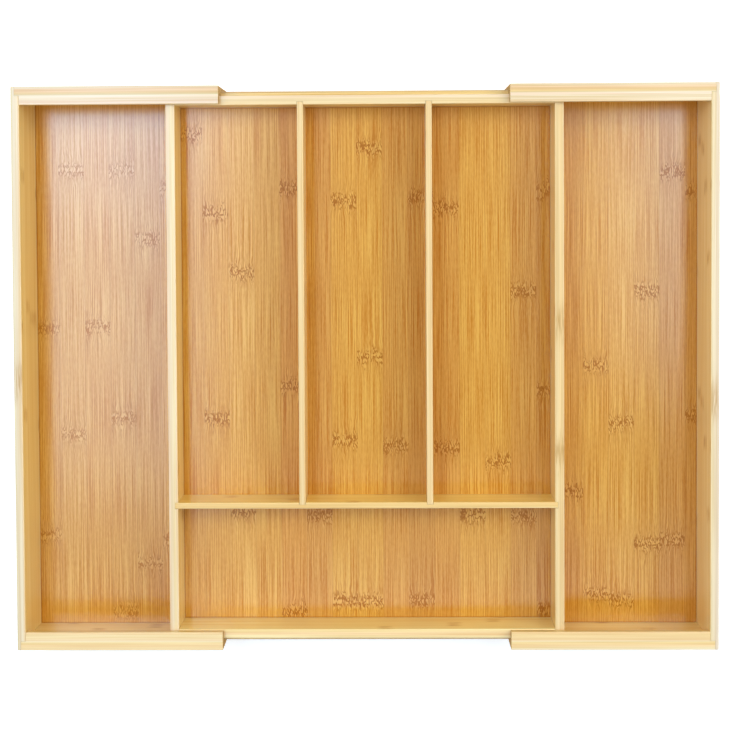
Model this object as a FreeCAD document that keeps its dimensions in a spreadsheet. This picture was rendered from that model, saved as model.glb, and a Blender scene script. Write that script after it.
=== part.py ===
"""Extending cutlery tray in laminated bamboo.

A centre tray with four compartments carries a slide rail on its front and back walls. A side
tray runs on those rails at each end, and is modelled pulled right out, against its stop.
Millimetres, +X to the right, +Y to the back, +Z up, origin on the table under the middle.
"""
import FreeCAD
import Part
import Sketcher

import math
import os

# Driving sizes, one sheet cell each
SIZES = {
    "tray_depth": 370,  # front to back, over the side trays
    "tray_height": 50,  # table to the top of the side trays
    "outer_board": 5.5,  # thickness of the boards at the far left and right
    "arm_board": 6,  # thickness of the side trays' front and back boards
    "corner_rabbet": 3.2,  # depth of the rabbets that take those boards' ends
    "lip_width": 6,  # strips that cap the centre tray's walls
    "lip_height": 5,
    "side_opening": 94.5,  # width of a side compartment, pulled out
    "compartment_width": 80,  # each long compartment
    "front_compartment": 80,  # front compartment, front to back
    "centre_wall": 6,  # thickness of the centre tray's walls
    "wall_rabbet": 3,  # depth of the rabbets that take the left and right walls
    "divider": 4,  # thickness of the dividers
    "wall_slot": 2,  # depth of the divider slots in the walls
    "divider_slot": 1.5,  # depth of the divider slots in the cross divider
    "side_floor": 4,  # thickness of the side trays' floors
    "centre_floor": 4,  # thickness of the centre tray's floor
    "floor_lift": 2.5,  # table to the underside of the side trays' floors
    "floor_groove": 2.5,  # how far the floors reach into their boards
    "rail_reach": 3.4,  # slide rails, out from the centre tray's walls
    "rail_seat": 2,  # slide rails, into the centre tray's walls
    "rail_height": 6,
    "rail_drop": 9,  # centre tray's rim down to the slide rails
    "stop_width": 6,  # strips that stop the side trays at full reach
    "stop_height": 5.7,
    "slide_gap": 0.4,  # running clearance between centre tray and side trays
    "stop_gap": 0.3,  # between stop strip and centre wall, pulled out
    "closed_gap": 0.5,  # between outer board and centre wall, pushed in
    "meeting_gap": 1,  # between the two side trays' arms, pushed in
    "glue_gap": 0.1,  # room for glue round what sits in a groove, slot or rabbet
    "edge_round": 0.6,  # eased edges
}
ON_PLANE = 0.001  # how near a point lies to a face that it belongs to
OUTWARD = ("back", "left", "front", "right")  # ways that a board's outer face looks, a quarter turn apart

doc = FreeCAD.newDocument("cutlery_tray")
sheet = doc.addObject("Spreadsheet::Sheet", "Sizes")
for row, (alias, size) in enumerate(SIZES.items(), 1):
    sheet.set(f"A{row}", str(size))
    sheet.setAlias(f"A{row}", alias)
doc.recompute()
pieces = []

# Heights that several pieces share
rim = "(Sizes.tray_height - Sizes.lip_height - Sizes.slide_gap)"
side_floor_top = "(Sizes.floor_lift + Sizes.side_floor)"
centre_floor_foot = f"({side_floor_top} + Sizes.stop_height + Sizes.slide_gap)"
centre_floor_top = f"({centre_floor_foot} + Sizes.centre_floor)"
divider_height = f"({rim} - {centre_floor_top})"
wall_foot = f"({side_floor_top} + Sizes.slide_gap)"
wall_height = f"({rim} - {wall_foot})"
rail_top = f"({rim} - Sizes.rail_drop)"
rail_foot = f"({rail_top} - Sizes.rail_height)"

# Lengths and widths that several pieces share
centre_inner_width = "(3 * Sizes.compartment_width + 2 * Sizes.divider)"
centre_width = f"({centre_inner_width} + 2 * Sizes.centre_wall)"
centre_depth = "(Sizes.tray_depth - 2 * Sizes.arm_board - 2 * Sizes.slide_gap)"
centre_inner_depth = f"({centre_depth} - 2 * Sizes.centre_wall)"
long_compartment = f"({centre_inner_depth} - Sizes.front_compartment - Sizes.divider)"
half_inner_reach = f"({centre_width} / 2 + Sizes.side_opening)"
travel = "(Sizes.side_opening - Sizes.closed_gap)"
arm_end = f"({travel} + Sizes.meeting_gap / 2)"
side_inner_depth = "(Sizes.tray_depth - 2 * Sizes.arm_board)"
rabbet_hold = "(Sizes.corner_rabbet - Sizes.glue_gap)"
wall_hold = "(Sizes.wall_rabbet - Sizes.glue_gap)"
groove_depth = "(Sizes.floor_groove + Sizes.glue_gap)"


def rectangle(left, right, low, high):
    """Corners of a rectangle, as pairs of expressions."""
    return [(left, low), (right, low), (right, high), (left, high)]


def notched(thickness, height, inner=(), outer=()):
    """Section of a board from its inner face at 0, with notches of (low, high, depth), top one first."""
    corners = [("0", "0"), (thickness, "0")]
    for low, high, depth in reversed(outer):
        deep = f"{thickness} - {depth}"
        corners += [(thickness, low), (deep, low), (deep, high), (thickness, high)]
    corners += [(thickness, height), ("0", height)]
    for low, high, depth in inner:
        corners += [("0", high), (depth, high), (depth, low), ("0", low)]
    return corners


def sketch_on(body, plane_role, loops):
    """Sketch of straight-sided loops on one of the body's own planes, each corner bound to the sheet."""
    plane = next(feature for feature in body.Origin.OriginFeatures if feature.Role == plane_role)
    sketch = body.newObject("Sketcher::SketchObject", f"{body.Label}_{plane_role}")
    sketch.AttachmentSupport = (plane, [""])
    sketch.MapMode = "FlatFace"
    for corners in loops:
        first = sketch.GeometryCount
        count = len(corners)
        turn = 2 * math.pi / count
        ring = [FreeCAD.Vector(math.cos(turn * i), math.sin(turn * i), 0) for i in range(count)]
        for i in range(count):
            sketch.addGeometry(Part.LineSegment(ring[i], ring[(i + 1) % count]))
        for i, corner in enumerate(corners):
            following = first + (i + 1) % count
            sketch.addConstraint(Sketcher.Constraint("Coincident", first + i, 2, following, 1))
            for kind, axis, start, expression in zip(("DistanceX", "DistanceY"), (-2, -1), ring[i], corner):
                if expression == "0":
                    sketch.addConstraint(Sketcher.Constraint("PointOnObject", first + i, 1, axis))
                else:
                    held = sketch.addConstraint(Sketcher.Constraint(kind, -1, 1, first + i, 1, start))
                    sketch.setExpression(f"Constraints[{held}]", expression)
    return sketch


def edges_between(shape, pairs):
    """Names of the edges where two sides of the shape's box meet."""
    box = shape.BoundBox
    sides = {
        "near": ("x", box.XMin),
        "far": ("x", box.XMax),
        "inner": ("y", box.YMin),
        "outer": ("y", box.YMax),
        "bottom": ("z", box.ZMin),
        "top": ("z", box.ZMax),
    }
    names = []
    for number, edge in enumerate(shape.Edges, 1):
        for pair in pairs:
            planes = [sides[side] for side in pair.split()]
            points = [vertex.Point for vertex in edge.Vertexes]
            if all(abs(getattr(point, axis) - at) < ON_PLANE for point in points for axis, at in planes):
                names.append(f"Edge{number}")
    return names


def board(label, facing, corner, length, section, eased=()):
    """A moulded piece: a section across Y and Z, run along X in the piece's own frame.

    Its inner face is y = 0. It is turned until its outer face looks the way that facing says,
    and its own origin is set at the corner.
    """
    body = doc.addObject("PartDesign::Body", label)
    turn = FreeCAD.Rotation(FreeCAD.Vector(0, 0, 1), 90 * OUTWARD.index(facing))
    body.Placement = FreeCAD.Placement(FreeCAD.Vector(), turn)
    for axis, expression in zip("xyz", corner):
        body.setExpression(f"Placement.Base.{axis}", expression)
    profile = sketch_on(body, "YZ_Plane", [section])
    run = body.newObject("PartDesign::Pad", f"{label}_run")
    run.Profile = profile
    run.setExpression("Length", length)
    doc.recompute()
    if eased:
        easing = body.newObject("PartDesign::Fillet", f"{label}_easing")
        easing.Base = (run, edges_between(run.Shape, eased))
        easing.setExpression("Radius", "Sizes.edge_round")
        doc.recompute()
    pieces.append(body)
    return body


def slot(body, loops, depth):
    """Slots or rabbets cut into a board's inner face."""
    profile = sketch_on(body, "XZ_Plane", loops)
    pocket = body.newObject("PartDesign::Pocket", f"{body.Label}_slots")
    pocket.Profile = profile
    pocket.setExpression("Length", depth)
    doc.recompute()
    if pocket.Shape.Volume >= pocket.BaseFeature.Shape.Volume:
        raise RuntimeError(f"{body.Label}: the slots cut nothing")


def slot_at(start, low, high):
    """Slot for a divider whose near face is at start along the board."""
    return rectangle(f"{start} - Sizes.glue_gap", f"{start} + Sizes.divider + Sizes.glue_gap", low, high)


# Centre tray: front and back walls run the full width, rabbeted for the left and right walls
floor_notch = (
    f"{centre_floor_foot} - {wall_foot} - Sizes.glue_gap",
    f"{centre_floor_top} - {wall_foot} + Sizes.glue_gap",
    groove_depth,
)
rail_notch = (
    f"{rail_foot} - {wall_foot} - Sizes.glue_gap",
    f"{rail_top} - {wall_foot} + Sizes.glue_gap",
    "(Sizes.rail_seat + Sizes.glue_gap)",
)
divider_foot = f"{centre_floor_top} - {wall_foot}"
end_rabbets = [
    rectangle("0", "Sizes.centre_wall + Sizes.glue_gap", "0", wall_height),
    rectangle(f"{centre_width} - Sizes.centre_wall - Sizes.glue_gap", centre_width, "0", wall_height),
]
divider_starts = [
    "Sizes.compartment_width",
    "(2 * Sizes.compartment_width + Sizes.divider)",
]
for facing, minus, plus in (("back", "-", ""), ("front", "", "-")):
    wall = board(
        f"centre_{facing}_wall",
        facing,
        (f"{minus}{centre_width} / 2", f"{plus}{centre_inner_depth} / 2", wall_foot),
        centre_width,
        notched("Sizes.centre_wall", wall_height, inner=[floor_notch], outer=[rail_notch]),
        ["top inner", "top outer"],
    )
    slot(wall, end_rabbets, "Sizes.wall_rabbet")
    if facing == "back":
        divider_slots = [
            slot_at(f"Sizes.centre_wall + {start}", divider_foot, wall_height) for start in divider_starts
        ]
        slot(wall, divider_slots, "Sizes.wall_slot")
    board(
        f"{facing}_slide_rail",
        facing,
        (f"{minus}{centre_width} / 2", f"{plus}({centre_depth} / 2 - Sizes.rail_seat)", rail_foot),
        centre_width,
        notched("Sizes.rail_seat + Sizes.rail_reach", "Sizes.rail_height"),
        ["top outer", "bottom outer"],
    )

# Centre tray: left and right walls, let into the rabbets and slotted for the cross divider
side_wall_length = f"({centre_inner_depth} + 2 * {wall_hold})"
for facing, minus, cross_start in (
    ("left", "-", "Sizes.front_compartment"),
    ("right", "", long_compartment),
):
    wall = board(
        f"centre_{facing}_wall",
        facing,
        (f"{minus}{centre_inner_width} / 2", f"{minus}{side_wall_length} / 2", wall_foot),
        side_wall_length,
        notched("Sizes.centre_wall", wall_height, inner=[floor_notch]),
        ["top inner", "top outer"],
    )
    slot(wall, [slot_at(f"{wall_hold} + {cross_start}", divider_foot, wall_height)], "Sizes.wall_slot")

# Centre tray: dividers, housed in each other and in the walls
slot_hold = "(Sizes.wall_slot - Sizes.glue_gap)"
cross_slot_hold = "(Sizes.divider_slot - Sizes.glue_gap)"
cross_back = f"({centre_inner_depth} / 2 - {long_compartment})"
cross_length = f"({centre_inner_width} + 2 * {slot_hold})"
cross = board(
    "cross_divider",
    "front",
    (f"{cross_length} / 2", cross_back, centre_floor_top),
    cross_length,
    notched("Sizes.divider", divider_height),
    ["top inner", "top outer"],
)
cross_slots = [slot_at(f"{slot_hold} + {start}", "0", divider_height) for start in divider_starts]
slot(cross, cross_slots, "Sizes.divider_slot")
for name, start in zip(("left_divider", "right_divider"), divider_starts):
    board(
        name,
        "left",
        (
            f"{start} + Sizes.divider - {centre_inner_width} / 2",
            f"{cross_back} - {cross_slot_hold}",
            centre_floor_top,
        ),
        f"{long_compartment} + {cross_slot_hold} + {slot_hold}",
        notched("Sizes.divider", divider_height),
        ["top inner", "top outer"],
    )

# Centre tray: floor panel, in the grooves of the four walls
centre_floor_width = f"({centre_inner_width} + 2 * Sizes.floor_groove)"
centre_floor_depth = f"({centre_inner_depth} + 2 * Sizes.floor_groove)"
board(
    "centre_floor",
    "back",
    (f"-{centre_floor_width} / 2", f"-{centre_floor_depth} / 2", centre_floor_foot),
    centre_floor_width,
    notched(centre_floor_depth, "Sizes.centre_floor"),
)

# Side trays: the right one is the left one turned half round, so its front board is the left one's back board
side_floor_notch = (
    "Sizes.floor_lift - Sizes.glue_gap",
    f"{side_floor_top} + Sizes.glue_gap",
    groove_depth,
)
rail_groove = (
    f"{rail_foot} - Sizes.slide_gap",
    f"{rail_top} + Sizes.slide_gap",
    "Sizes.rail_reach",
)
corner_rabbets = [
    rectangle("0", "Sizes.arm_board + Sizes.glue_gap", "0", "Sizes.tray_height"),
    rectangle(
        "Sizes.tray_depth - Sizes.arm_board - Sizes.glue_gap",
        "Sizes.tray_depth",
        "0",
        "Sizes.tray_height",
    ),
]
arm_start = f"({half_inner_reach} + {rabbet_hold})"
arm_length = f"({arm_start} - {arm_end})"
lip_length = f"({half_inner_reach} - {arm_end})"
lip_foot = "Sizes.tray_height - Sizes.lip_height"
lip_face = f"({side_inner_depth} / 2 - Sizes.lip_width)"
stop_outer = f"({centre_inner_width} / 2 - Sizes.stop_gap)"
stop_inner = f"({stop_outer} - Sizes.stop_width)"
stop_length = f"({centre_inner_depth} - 2 * Sizes.slide_gap)"
floor_start = f"({half_inner_reach} + Sizes.floor_groove)"
side_floor_depth = f"({side_inner_depth} + 2 * Sizes.floor_groove)"
for side, minus, plus, ahead, behind in (
    ("left", "-", "", "front", "back"),
    ("right", "", "-", "back", "front"),
):
    outer = board(
        f"{side}_outer_board",
        side,
        (f"{minus}{half_inner_reach}", f"{minus}Sizes.tray_depth / 2", "0"),
        "Sizes.tray_depth",
        notched("Sizes.outer_board", "Sizes.tray_height", inner=[side_floor_notch]),
        ["top inner", "top outer", "near outer", "far outer", "near top", "far top"],
    )
    slot(outer, corner_rabbets, "Sizes.corner_rabbet")
    board(
        f"{side}_{behind}_board",
        behind,
        (f"{minus}{arm_start}", f"{plus}{side_inner_depth} / 2", "0"),
        arm_length,
        notched("Sizes.arm_board", "Sizes.tray_height", inner=[rail_groove, side_floor_notch]),
        ["top outer", "far outer", "far top"],
    )
    board(
        f"{side}_{ahead}_board",
        ahead,
        (f"{minus}{arm_end}", f"{minus}{side_inner_depth} / 2", "0"),
        arm_length,
        notched("Sizes.arm_board", "Sizes.tray_height", inner=[rail_groove, side_floor_notch]),
        ["top outer", "near outer", "near top"],
    )
    board(
        f"{side}_{behind}_lip",
        behind,
        (f"{minus}{half_inner_reach}", f"{plus}{lip_face}", lip_foot),
        lip_length,
        notched("Sizes.lip_width", "Sizes.lip_height"),
        ["top inner", "bottom inner", "far top"],
    )
    board(
        f"{side}_{ahead}_lip",
        ahead,
        (f"{minus}{arm_end}", f"{minus}{lip_face}", lip_foot),
        lip_length,
        notched("Sizes.lip_width", "Sizes.lip_height"),
        ["top inner", "bottom inner", "near top"],
    )
    board(
        f"{side}_floor",
        behind,
        (f"{minus}{floor_start}", f"{minus}{side_floor_depth} / 2", "Sizes.floor_lift"),
        f"{floor_start} - {stop_inner}",
        notched(side_floor_depth, "Sizes.side_floor"),
    )
    board(
        f"{side}_stop_strip",
        behind,
        (f"{minus}{stop_outer}", f"{minus}{stop_length} / 2", side_floor_top),
        "Sizes.stop_width",
        notched(stop_length, "Sizes.stop_height"),
    )

# Every object is checked before anything is written
doc.recompute()
for item in doc.Objects:
    if "Invalid" in item.State or "Error" in item.State:
        raise RuntimeError(f"{item.Label} did not build: {item.State}")
os.makedirs("parts", exist_ok=True)
for piece in pieces:
    if piece.Shape.isNull() or not piece.Shape.isValid() or len(piece.Shape.Solids) != 1:
        raise RuntimeError(f"{piece.Label} is not one valid solid")
for piece in pieces:
    piece.Shape.exportStep(f"parts/{piece.Label}.step")
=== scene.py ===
"""An extending cutlery tray in lacquered bamboo. Every CAD piece stays and gets its own bamboo."""
import math

import bpy
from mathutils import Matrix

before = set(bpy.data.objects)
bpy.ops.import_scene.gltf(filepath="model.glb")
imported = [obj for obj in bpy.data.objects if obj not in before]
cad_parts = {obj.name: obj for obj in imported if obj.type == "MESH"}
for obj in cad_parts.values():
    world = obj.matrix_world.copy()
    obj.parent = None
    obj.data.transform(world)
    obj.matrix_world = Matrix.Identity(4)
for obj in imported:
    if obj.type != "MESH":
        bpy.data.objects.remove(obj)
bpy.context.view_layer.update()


# Floors: three panels of flat-pressed bamboo, 4 mm thick, let into grooves in the boards around them.
# Split canes about 17 mm wide are glued edge to edge and sanded flush under a satin lacquer, so that
# every strip keeps its own tone, its long fibres and its knuckles, where the cane was jointed.
STRIP_WIDTH = 0.01725
TONES = {"honey": "#E4A842", "amber": "#E1A03D", "tan": "#DE9F40", "blond": "#E7AD4A",
         "brown": "#D8993C"}
# First joint, the reach of the clear floor in x and y, along whose edge a shadow line is painted, how dark
# its knuckles are, and for each strip from left to right its tone and where its knuckles lie, in mm from
# the tray's middle.
# Beside the walls and dividers some strips have darker tones as painted shade, and the left floor's strip
# beside the centre tray has a lighter one as painted light. Elsewhere the tones differ as the canes do.
PANELS = {
    "left_floor": (-0.2264, (0.2245, 0.179), 0.45, [
        ("honey", 24, -118), ("blond", 131, -49), ("honey", 25), ("honey", 131, -38, -171),
        ("honey", 85, -138), ("blond", 119, -122), ("blond",)]),
    "centre_floor": (-0.1269, (0.124, 0.1726), 0.85, [
        ("honey", 155), ("honey", 102, -37), ("blond", 62, -99), ("honey",), ("amber", 118, -16, -168),
        ("tan", -103), ("honey", 110, -52, -161), ("honey", 145, 5, -162), ("tan", -56),
        ("brown", 112, -161), ("tan", 104, -57), ("honey", -103), ("honey", -67), ("tan", 49, -104),
        ("brown", 116, -18, -168)]),
    "right_floor": (0.1128, (0.2245, 0.179), 0.8, [
        ("honey",), ("honey", -89), ("honey", -3, -159), ("blond", -42, -164), ("honey", 48, -125),
        ("tan", 128, -123), ("brown", 115, -37)]),
}
# A strip's knuckles, at most three, go into one colour of a ramp, as shares of a length in metres that has
# the tray's middle at its own. A strip with fewer knuckles has the others far off the panel.
KNUCKLE_RANGE = 0.4
FAR_OFF = 3.0


def linear(code):
    """An sRGB hex colour as the linear colour that sockets take."""
    values = [int(code[i:i + 2], 16) / 255 for i in (1, 3, 5)]
    return [v / 12.92 if v <= 0.04045 else ((v + 0.055) / 1.055) ** 2.4 for v in values] + [1.0]


def add(tree, kind, feeds=(), output=0, **settings):
    """Adds a node with its settings and links, and returns one of its outputs.

    feeds holds what the sockets get, in their order or by their numbers or names: another node's output,
    a value or a hex colour. So MapRange gets a value, the range it comes from and the range it goes to.
    """
    node = tree.nodes.new("ShaderNode" + kind)
    for name, value in settings.items():
        setattr(node, name, value)
    feeds = feeds if isinstance(feeds, dict) else dict(enumerate(feeds))
    for socket, value in feeds.items():
        if isinstance(value, bpy.types.NodeSocket):
            tree.links.new(value, node.inputs[socket])
        else:
            node.inputs[socket].default_value = linear(value) if isinstance(value, str) else value
    return node.outputs[output]


def new_material(name):
    """An empty node material and its shader, whose sockets the caller feeds."""
    material = bpy.data.materials.new(name)
    material.use_nodes = True
    return material, material.node_tree, material.node_tree.nodes["Principled BSDF"]


def lacquer(tree, shader, colour, rough, coat, grain, relief):
    """Feeds the shader of a bamboo whose grain stands out a little under a satin lacquer."""
    bump = add(tree, "Bump", {"Height": grain, "Strength": relief, "Distance": 0.0002})
    for socket, value in (("Base Color", colour), ("Roughness", rough), ("Coat Weight", coat),
                          ("Normal", bump)):
        tree.links.new(value, shader.inputs[socket])
    for socket, value in (("IOR", 1.5), ("Specular IOR Level", 0.15), ("Coat Roughness", 0.22),
                          ("Coat IOR", 1.6)):
        shader.inputs[socket].default_value = value


def dress(node, material):
    """Gives a CAD node its finish."""
    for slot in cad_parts[node].material_slots:
        slot.material = material


def fibres(tree, place, cell, strip=0.0):
    """Noise whose cells have a real length, width and height in metres, drawn anew for every strip."""
    place = add(tree, "Mapping", {0: place, "Scale": cell}, vector_type="TEXTURE")
    return add(tree, "TexNoise", {"Vector": place, "W": strip, "Scale": 1.0, "Detail": 1.0},
               noise_dimensions="4D")


def strip_layout(tree, x, first_joint, strips):
    """The strip's number, the distance to its nearer joint in widths, its tone and its knuckles."""
    along = add(tree, "Math", [x, first_joint], operation="SUBTRACT")
    along = add(tree, "Math", [along, STRIP_WIDTH], operation="DIVIDE")
    strip = add(tree, "Math", [along], operation="FLOOR")
    joint = add(tree, "Math", [along, 0.5], operation="PINGPONG")
    middle = add(tree, "Math", [strip, 0.5], operation="ADD")
    middle = add(tree, "Math", [middle, float(len(strips))], operation="DIVIDE")
    tone = add(tree, "ValToRGB", [middle])
    knuckles = add(tree, "ValToRGB", [middle])
    ramps = (tone.node.color_ramp, knuckles.node.color_ramp)
    for ramp in ramps:
        ramp.interpolation = "CONSTANT"
        ramp.elements.remove(ramp.elements[1])
    for i, (shade, *spots) in enumerate(strips):
        places = [0.5 + spot / 1000 / KNUCKLE_RANGE for spot in spots]
        places += [FAR_OFF] * (3 - len(spots))
        for ramp, colour in zip(ramps, (linear(TONES[shade]), places + [1.0])):
            stop = ramp.elements[0] if i == 0 else ramp.elements.new(i / len(strips))
            stop.color = colour
    return strip, joint, tone, knuckles


def knuckle_distance(tree, place, y, strip, knuckles):
    """How far away the strip's nearest knuckle is, whose line across the strip is ragged."""
    ragged = fibres(tree, place, (0.004, 0.03, 0.03), strip)
    ragged = add(tree, "Math", [ragged, 0.008, -0.004], operation="MULTIPLY_ADD")
    ragged = add(tree, "Math", [y, ragged], operation="ADD")
    ragged = add(tree, "CombineXYZ", [ragged, ragged, ragged])
    knuckles = add(tree, "VectorMath", [knuckles, [KNUCKLE_RANGE] * 3, [-KNUCKLE_RANGE / 2] * 3],
                   operation="MULTIPLY_ADD")
    away = add(tree, "VectorMath", [ragged, knuckles], operation="SUBTRACT")
    away = add(tree, "VectorMath", [away], operation="ABSOLUTE")
    away = add(tree, "SeparateXYZ", [away]).node.outputs
    near = add(tree, "Math", [away[0], away[1]], operation="MINIMUM")
    return add(tree, "Math", [near, away[2]], operation="MINIMUM")


def dress_floor(panel, first_joint, reach, depth, strips):
    """Flat-pressed bamboo under satin lacquer: strips of different tone, long fibres and knuckles."""
    material, tree, shader = new_material("lacquered pressed bamboo " + panel.split("_")[0])
    place = add(tree, "TexCoord", output="Object")
    axes = add(tree, "SeparateXYZ", [place]).node.outputs
    x, y = axes["X"], axes["Y"]
    strip, joint, tone, knuckles = strip_layout(tree, x, first_joint, strips)

    # How far a knuckle reaches along the fibres, which is different for every bundle of them
    near = knuckle_distance(tree, place, y, strip, knuckles)
    swell = fibres(tree, place, (0.0016, 0.03, 1.0), strip)
    swell = add(tree, "MapRange", [swell, 0.3, 0.7, 0.0022, 0.0085])
    swell = add(tree, "Math", [near, swell], operation="DIVIDE")
    ring = add(tree, "MapRange", [swell, 0.3, 1.4, 1.0, 0.0], interpolation_type="SMOOTHSTEP")
    halo = add(tree, "MapRange", [swell, 0.6, 3.5, 0.22, 0.0], interpolation_type="SMOOTHSTEP")

    # Fibres about 1.1 mm apart and 60 mm long, which waver a little and bow out round the knuckles
    bow = add(tree, "MapRange", [near, 0.002, 0.022, 0.0042, 0.0006], interpolation_type="SMOOTHSTEP")
    swerve = fibres(tree, place, (0.0036, 0.012, 1.0), strip)
    swerve = add(tree, "Math", [swerve, 0.5], operation="SUBTRACT")
    swerve = add(tree, "Math", [swerve, bow, x], operation="MULTIPLY_ADD")
    swerve = add(tree, "CombineXYZ", [swerve, y, 0.0])
    fine = fibres(tree, swerve, (0.00055, 0.06, 1.0), strip)
    fleck = fibres(tree, swerve, (0.0008, 0.004, 1.0), strip)
    broad = fibres(tree, swerve, (0.0045, 0.2, 1.0), strip)
    grain = add(tree, "Mix", {0: 0.2, 2: fine, 3: fleck})
    grain = add(tree, "Mix", {0: 0.085, 2: grain, 3: broad})
    grain = add(tree, "MapRange", [grain, 0.385, 0.59, 0.0, 1.0])

    # Knuckles: a net of dark lines with meshes about 1.5 mm wide and 4 mm long, and darker fibres nearby
    net = fibres(tree, place, (0.0015, 0.0042, 1.0), strip)
    net = add(tree, "Math", [net, 0.5], operation="SUBTRACT")
    net = add(tree, "Math", [net], operation="ABSOLUTE")
    net = add(tree, "MapRange", [net, 0.015, 0.105, 0.0, 1.0])
    streaks = add(tree, "Math", [1.0, grain], operation="SUBTRACT")
    streaks = add(tree, "Math", [streaks, halo], operation="MULTIPLY")
    grain = add(tree, "Mix", {0: ring, 2: grain, 3: net})
    lines = add(tree, "MapRange", [net, 0.0, 0.8, depth, 0.0])
    lines = add(tree, "Math", [lines, ring], operation="MULTIPLY")
    dark = add(tree, "Math", [lines, streaks], operation="MAXIMUM")

    # A painted shadow line round the panel, where its edge goes into the boards' grooves, and a faint dark
    # line along every joint
    gap = add(tree, "VectorMath", [place], operation="ABSOLUTE")
    gap = add(tree, "VectorMath", [(*reach, 1.0), gap], operation="SUBTRACT")
    gap = add(tree, "SeparateXYZ", [gap]).node.outputs
    gap = add(tree, "Math", [gap[0], gap[1]], operation="MINIMUM")
    groove_shadow = add(tree, "MapRange", [gap, 0.0003, 0.0010, 0.6, 0.0])
    dark = add(tree, "Math", [dark, groove_shadow], operation="MAXIMUM")
    joint = add(tree, "MapRange", [joint, 0.01, 0.04, 0.12, 0.0])
    dark = add(tree, "Math", [dark, joint], operation="MAXIMUM")

    shade = add(tree, "MixRGB", [grain, "#DCBA42", "#FFFFFF"])
    colour = add(tree, "MixRGB", [1.0, tone, shade], blend_type="MULTIPLY")
    colour = add(tree, "MixRGB", [dark, colour, "#A45E08"])
    # The lacquer's sheen is a veil, a little thinner on open fibres and on knuckles, which drink it
    rough = add(tree, "MapRange", [grain, 0.0, 1.0, 0.5, 0.4])
    coat = add(tree, "MapRange", [grain, 0.0, 1.0, 0.63, 0.94])
    thirst = add(tree, "Math", [lines, -0.5, 1.0], operation="MULTIPLY_ADD")
    coat = add(tree, "Math", [coat, thirst], operation="MULTIPLY")
    lacquer(tree, shader, colour, rough, coat, grain, relief=0.1)
    dress(panel, material)


for panel, layout in PANELS.items():
    dress_floor(panel, *layout)


# Centre tray's walls: four boards of edge-glued bamboo laths, 6 mm thick, glued in rabbets at the corners
# and grooved inside for the floor. The grain runs along each board. The faces show low bands of fibres,
# the sanded top edges show the plies side by side, paler than the faces, and the cut ends show dots.
LATH = 0.0094
KNUCKLE_LENGTH = 0.007
SMEAR_LENGTH = 0.020
ALONG_X = 0
ALONG_Y = 1


def turned(cell, along):
    """A cell's length along the grain, its width and its height, put in the order of the axes."""
    return cell if along == ALONG_X else (cell[1], cell[0], cell[2])


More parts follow.
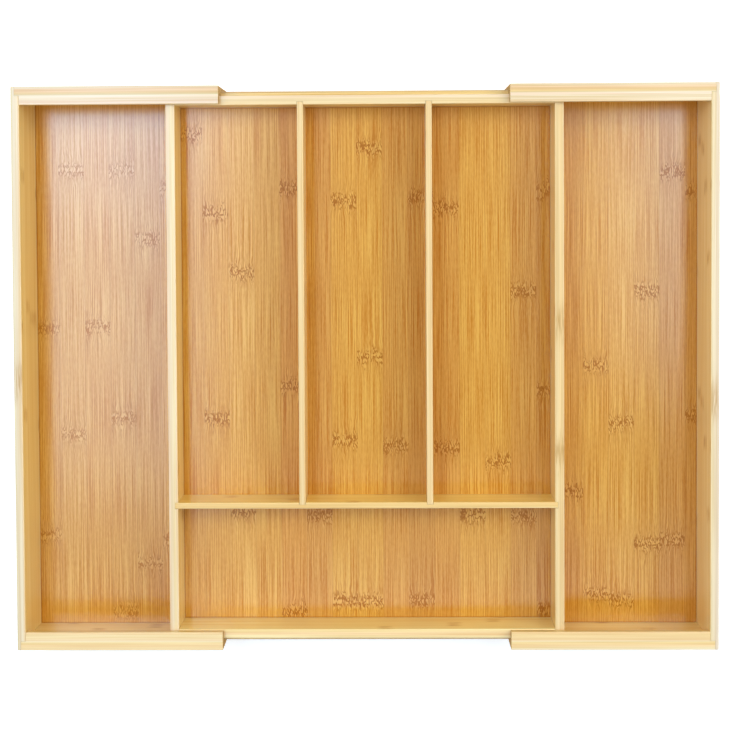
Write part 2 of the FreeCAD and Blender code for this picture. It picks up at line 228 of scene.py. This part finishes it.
def dress_board(node, along, span, inner, outer, top, knuckles=(), smears=()):
    """A bamboo board under satin lacquer, with its grain along X or Y.

    span gives its two faces' distance from the tray's middle, inner and outer those faces' darkest and
    lightest tones, top the tones of its plies from face to face, knuckles about where the cane's joints
    lie on its faces and smears where they show along its top edge, in mm.
    """
    material, tree, shader = new_material("lacquered bamboo " + node)
    place = add(tree, "TexCoord", output="Object")
    axes = add(tree, "SeparateXYZ", [place]).node.outputs
    through = add(tree, "Math", [axes[1 - along]], operation="ABSOLUTE")
    through = add(tree, "MapRange", [through, *span, 0.0, 1.0])
    facing = add(tree, "NewGeometry", output="Normal")
    facing = add(tree, "SeparateXYZ", [facing]).node.outputs
    upwards = add(tree, "MapRange", [facing[2], 0.3, 0.9, 0.0, 1.0])
    cut = add(tree, "Math", [facing[along]], operation="ABSOLUTE")
    cut = add(tree, "MapRange", [cut, 0.5, 0.9, 0.0, 1.0])

    # Fibres about 1.4 mm apart, streaks of a few millimetres, and laths one above the other
    lath = add(tree, "Math", [axes[2], LATH], operation="DIVIDE")
    lath = add(tree, "Math", [lath], operation="FLOOR")
    lath = add(tree, "Math", [lath, float(sum(knuckles))], operation="ADD")
    fine = fibres(tree, place, turned((0.07, 0.0007, 0.0007), along), lath)
    broad = fibres(tree, place, turned((0.16, 0.0016, 0.0030), along), lath)
    grain = add(tree, "Mix", {0: 0.5, 2: fine, 3: broad})
    grain = add(tree, "MapRange", [grain, 0.36, 0.64, 0.0, 1.0])
    chance = add(tree, "TexWhiteNoise", {"W": lath}, noise_dimensions="1D")
    band = add(tree, "Mix", {0: 0.45, 2: grain, 3: chance})
    inside = add(tree, "MixRGB", [band, *inner])
    outside = add(tree, "MixRGB", [band, *outer])
    face = add(tree, "MixRGB", [through, inside, outside])

    # The top edge's plies side by side, a little ragged, and a painted highlight drawn paler along its
    # rounded corners
    ragged = add(tree, "Math", [broad, 0.5, -0.25], operation="MULTIPLY_ADD")
    ragged = add(tree, "Math", [through, ragged], operation="ADD")
    plies = add(tree, "ValToRGB", [ragged])
    stops = plies.node.color_ramp.elements
    stops.remove(stops[1])
    for i, tone in enumerate(top):
        stop = stops[0] if i == 0 else stops.new(i / (len(top) - 1))
        stop.color = linear(tone)
    streak = add(tree, "MixRGB", [grain, "#EEE2D0", "#FFFFFF"])
    plies = add(tree, "MixRGB", [1.0, plies, streak], blend_type="MULTIPLY")
    edge_highlight = add(tree, "Math", [through, 0.5], operation="SUBTRACT")
    edge_highlight = add(tree, "Math", [edge_highlight], operation="ABSOLUTE")
    edge_highlight = add(tree, "MapRange", [edge_highlight, 0.38, 0.45, 0.0, 0.25])
    plies = add(tree, "MixRGB", [edge_highlight, plies, "#FFF0CC"])
    colour = add(tree, "MixRGB", [upwards, face, plies])

    # Knuckles, in a different place on every lath: brown strokes, drawn out longer along the top edge
    sides = add(tree, "Math", [1.0, upwards], operation="SUBTRACT")
    wobble = add(tree, "Math", [broad, 0.008, axes[along]], operation="MULTIPLY_ADD")
    stagger = add(tree, "Math", [chance, 0.14, -0.07], operation="MULTIPLY_ADD")
    stagger = add(tree, "Math", [wobble, stagger], operation="ADD")
    stroke = fibres(tree, place, turned((0.012, 0.0007, 0.0008), along))
    stroke = add(tree, "MapRange", [stroke, 0.42, 0.58, 0.1, 0.6])
    marks = [(spot, stagger, KNUCKLE_LENGTH, sides) for spot in knuckles]
    marks += [(spot, wobble, SMEAR_LENGTH, upwards) for spot in smears]
    for spot, position, length, where in marks:
        near = add(tree, "Math", [position, spot / 1000], operation="SUBTRACT")
        near = add(tree, "Math", [near], operation="ABSOLUTE")
        near = add(tree, "MapRange", [near, 0.001, length, 1.0, 0.0], interpolation_type="SMOOTHSTEP")
        near = add(tree, "Math", [near, stroke], operation="MULTIPLY")
        near = add(tree, "Math", [near, where], operation="MULTIPLY")
        colour = add(tree, "MixRGB", [near, colour, "#B98134"])

    # Cut ends, where the fibre bundles show as brown dots under 1 mm across
    dots = fibres(tree, place, (0.0006, 0.0006, 0.0006))
    dots = add(tree, "MapRange", [dots, 0.42, 0.6, 0.0, 1.0])
    dots = add(tree, "MixRGB", [dots, "#A07438", "#D2AC6C"])
    colour = add(tree, "MixRGB", [cut, colour, dots])

    # The sanded edges drink the lacquer and stay duller than the faces, and the cut ends are matt
    rough = add(tree, "MapRange", [grain, 0.0, 1.0, 0.5, 0.4])
    rough = add(tree, "Mix", {0: cut, 2: rough, 3: 0.9})
    coat = add(tree, "MapRange", [upwards, 0.0, 1.0, 1.0, 0.3])
    coat = add(tree, "Mix", {0: cut, 2: coat, 3: 0.0})
    lacquer(tree, shader, colour, rough, coat, grain, relief=0.12)
    dress(node, material)


# Spans: how far two faces lie from the tray's middle, here and in the groups that follow
FRONT_AND_BACK = (0.1726, 0.1786)
LEFT_AND_RIGHT = (0.124, 0.130)
INNER_FACE = ("#E8C270", "#FCE69F")
OUTER_FACE = ("#E4B66C", "#FADB9A")
dress_board("centre_back_wall", ALONG_X, FRONT_AND_BACK, INNER_FACE, OUTER_FACE,
            ("#F9D79E", "#F1D4A1", "#FDDDB7"), (-60,))
# The front wall's inner face has lighter tones than the other walls' as painted light, for light falling on
# it from behind the tray.
dress_board("centre_front_wall", ALONG_X, FRONT_AND_BACK, ("#EDC872", "#FFEDA2"), OUTER_FACE,
            ("#FEDE94", "#FDD49C", "#FFE8A9"), (50,))
dress_board("centre_left_wall", ALONG_Y, LEFT_AND_RIGHT, INNER_FACE, INNER_FACE,
            ("#F7D5A9", "#F9DEA9", "#F2D9B2", "#F8D3AA"), (-110,))
dress_board("centre_right_wall", ALONG_Y, LEFT_AND_RIGHT, INNER_FACE, INNER_FACE,
            ("#F0CC8F", "#F2D199", "#F3CE91", "#EEC78C"), (30,), (33, -52))


# Dividers: three thin boards, 4 mm thick, slotted into the walls and into each other and glued to the
# floor. They are sawn from the same laths as the walls, and their top edges are a warmer yellow.
LONG_DIVIDERS = (0.040, 0.044)
CROSS_DIVIDER = (0.0886, 0.0926)
dress_board("left_divider", ALONG_Y, LONG_DIVIDERS, ("#F6D086", "#FFF2B8"), INNER_FACE,
            ("#F2CC8C", "#F5D29A", "#F3CE8E"), (20,))
dress_board("right_divider", ALONG_Y, LONG_DIVIDERS, INNER_FACE, INNER_FACE,
            ("#F4CD90", "#F6D39B", "#F2CB8E"), (120,))
dress_board("cross_divider", ALONG_X, CROSS_DIVIDER, ("#E7BD59", "#FBE07F"), INNER_FACE,
            ("#F5CD86", "#F4C980", "#F6D18E"), (-30,))


# Slide rails: two narrow strips let into the outer faces of the centre tray's back and front walls, which
# the side trays' grooved boards run along. They are golden bamboo, and the darker tones at both edges of
# their tops are painted shade, in the corner against the wall and along the outer edge.
RAILS = (0.1766, 0.182)
RAIL_FACE = ("#C9994A", "#E3BC70")
for rail in ("back_slide_rail", "front_slide_rail"):
    dress_board(rail, ALONG_X, RAILS, RAIL_FACE, RAIL_FACE,
                # The dark first two plies and the dark last one are painted shade.
                ("#8F5E22", "#A87430", "#EFCB82", "#F3D592", "#B98A42"))


# Side trays' boards: an outer board, 5.5 mm thick, and two grooved boards, 6 mm thick, let into its rabbets
# as arms that straddle the centre tray. The back arms' plies go from golden inside to a tan peach outside,
# the front arms' plies are more even, and the free ends show the cut fibres.
OUTER_BOARDS = (0.2245, 0.230)
ARMS = (0.179, 0.185)
dress_board("left_outer_board", ALONG_Y, OUTER_BOARDS, INNER_FACE, OUTER_FACE,
            ("#F6D3A0", "#F1D8B0", "#EDD6B2", "#E6D3A8"), (-8, 150), (-4,))
dress_board("right_outer_board", ALONG_Y, OUTER_BOARDS, ("#EBC57A", "#FFEAAD"), OUTER_FACE,
            ("#F1D9A5", "#EFD6A9", "#EDD6B7", "#EAD4BB"), (-60, 110), (-17,))
dress_board("left_front_board", ALONG_X, ARMS, INNER_FACE, OUTER_FACE,
            ("#F2D39C", "#FAD99A", "#F8D299", "#F8D49A", "#F4D5A0"), (-160,))
dress_board("left_back_board", ALONG_X, ARMS, INNER_FACE, OUTER_FACE,
            ("#DEC593", "#E4BF82", "#E7BC87", "#E9C394", "#DEC59F"), (-190,))
dress_board("right_front_board", ALONG_X, ARMS, INNER_FACE, OUTER_FACE,
            ("#F8D79D", "#FAD997", "#F9D398", "#FBE0AF", "#F6DFB2"), (130,))
dress_board("right_back_board", ALONG_X, ARMS, INNER_FACE, OUTER_FACE,
            ("#E4C48D", "#EFCB8A", "#EDC38E", "#EFCC9C", "#E3CFAD"), (170,))


# Lips: narrow strips glued along the arms' inner top edges, which cap the centre tray's walls. They are
# pale cream bamboo, with a darker, more golden inner face.
LIPS = (0.173, 0.179)
LIP_FACE = ("#D2AC62", "#E6C680")
for lip, top in (("left_front_lip", ("#FCD69A", "#FBDCA4", "#FADAA3", "#FFDFB1")),
                 ("left_back_lip", ("#F1CFA5", "#F0D2B2", "#EFD6B0", "#F6D7B8")),
                 ("right_front_lip", ("#F6C987", "#F5CF90", "#F6D195", "#FCD7A1")),
                 ("right_back_lip", ("#F2D1A3", "#F1D9B1", "#F0D7AF", "#F7D2B2"))):
    dress_board(lip, ALONG_X, LIPS, LIP_FACE, LIP_FACE, top)


# Stop strips: narrow strips glued across the side floors' inner ends, which catch the centre tray's walls
# at full reach. They never show from above, and are the same golden bamboo as the rails.
STOPS = (0.1177, 0.1237)
for strip in ("left_stop_strip", "right_stop_strip"):
    dress_board(strip, ALONG_Y, STOPS, RAIL_FACE, RAIL_FACE, ("#DDBB70", "#E4C67E", "#DDBB70"))


# Stage: a white sweep under soft light. It shows white to the camera and keeps the tray's shadow.
# The room round it is white to the camera too, and lights the tray from all sides but not from above.
SWEEP_SIZE = 12.0
bpy.ops.object.select_all(action="DESELECT")
bpy.ops.mesh.primitive_plane_add(size=SWEEP_SIZE)
sweep = bpy.context.object
sweep.name = "white_sweep"
paper, tree, shader = new_material("white paper")
tree.nodes.remove(shader)
seen = add(tree, "LightPath").node.outputs
direct = add(tree, "Math", [seen["Is Camera Ray"], seen["Is Glossy Ray"]], operation="MAXIMUM")
direct = add(tree, "Math", [direct, seen["Is Transmission Ray"]], operation="MAXIMUM")
away = add(tree, "TexCoord", output="Object")
away = add(tree, "VectorMath", [away], output="Value", operation="LENGTH")
glow = add(tree, "MapRange", [away, 0.8, 3.0, 0.4, 1.0])
glow = add(tree, "Math", [direct, glow], operation="MULTIPLY")
glow = add(tree, "Emission", {"Strength": glow})
lit = add(tree, "BsdfDiffuse", {"Color": "#F2F2F2"})
whole = add(tree, "AddShader", [lit, glow])
tree.links.new(whole, tree.nodes["Material Output"].inputs["Surface"])
sweep.data.materials.append(paper)

ROOM_LIGHT = 0.635
world = bpy.data.worlds.new("white room")
bpy.context.scene.world = world
world.use_nodes = True
tree = world.node_tree
seen = add(tree, "LightPath").node.outputs
height = add(tree, "TexCoord", output="Generated")
height = add(tree, "SeparateXYZ", [height], output="Z")
around = add(tree, "MapRange", [height, 0.55, 0.95, ROOM_LIGHT, 0.0], interpolation_type="SMOOTHSTEP")
level = add(tree, "Mix", {0: seen["Is Camera Ray"], 2: around, 3: 1.0})
tree.links.new(level, tree.nodes["Background"].inputs["Strength"])
tree.nodes["Background"].inputs["Color"].default_value = linear("#FFFFFF")


# Light: a large softbox high on either side, both a little behind the tray, and five narrow, cooler
# ones overhead, which the lacquer mirrors as a pale sheen on the floors.
for name, spot, size, power, colour in (
        ("left_key", (-1.05, 0.45, 1.3), (0.9, 0.9), 5.9, "#FFF4D7"),
        ("right_key", (1.2, 0.45, 1.15), (0.9, 0.9), 10.3, "#FFFDF5"),
        ("left_back_strip", (-0.475, 0.42, 1.5), (0.35, 0.6), 9.0, "#B6D9FF"),
        ("left_middle_strip", (-0.475, -0.13, 1.5), (0.35, 0.5), 3.8, "#B6D9FF"),
        ("right_back_strip", (0.55, 0.42, 1.5), (0.30, 0.6), 4.8, "#C8E6FF"),
        ("right_middle_strip", (0.55, -0.03, 1.5), (0.30, 0.3), 1.6, "#C8E6FF"),
        ("front_strip", (0.0, -0.62, 1.5), (1.3, 0.35), 3.0, "#C8E6FF")):
    lamp = bpy.data.lights.new(name, "AREA")
    lamp.shape = "RECTANGLE"
    lamp.size, lamp.size_y = size
    lamp.energy = power
    lamp.color = linear(colour)[:3]
    softbox = bpy.data.objects.new(name, lamp)
    bpy.context.collection.objects.link(softbox)
    softbox.location = spot
    if name.endswith("key"):
        softbox.rotation_euler = (-softbox.location).to_track_quat("-Z", "Y").to_euler()


# Camera: above the tray and almost square to it, as the photograph was taken, with the frame shifted
# towards the front so that the tray lies in its middle.
camera = bpy.data.objects.new("camera", bpy.data.cameras.new("camera"))
bpy.context.collection.objects.link(camera)
camera.location = (0.0159, 0.1033, 0.9986)
camera.rotation_euler = [math.radians(angle) for angle in (-1.855, 0.826, -0.309)]
camera.data.lens = 71.42
camera.data.sensor_width = 36.0
camera.data.shift_y = -0.15
bpy.context.scene.camera = camera
bpy.context.scene.view_settings.view_transform = "Standard"
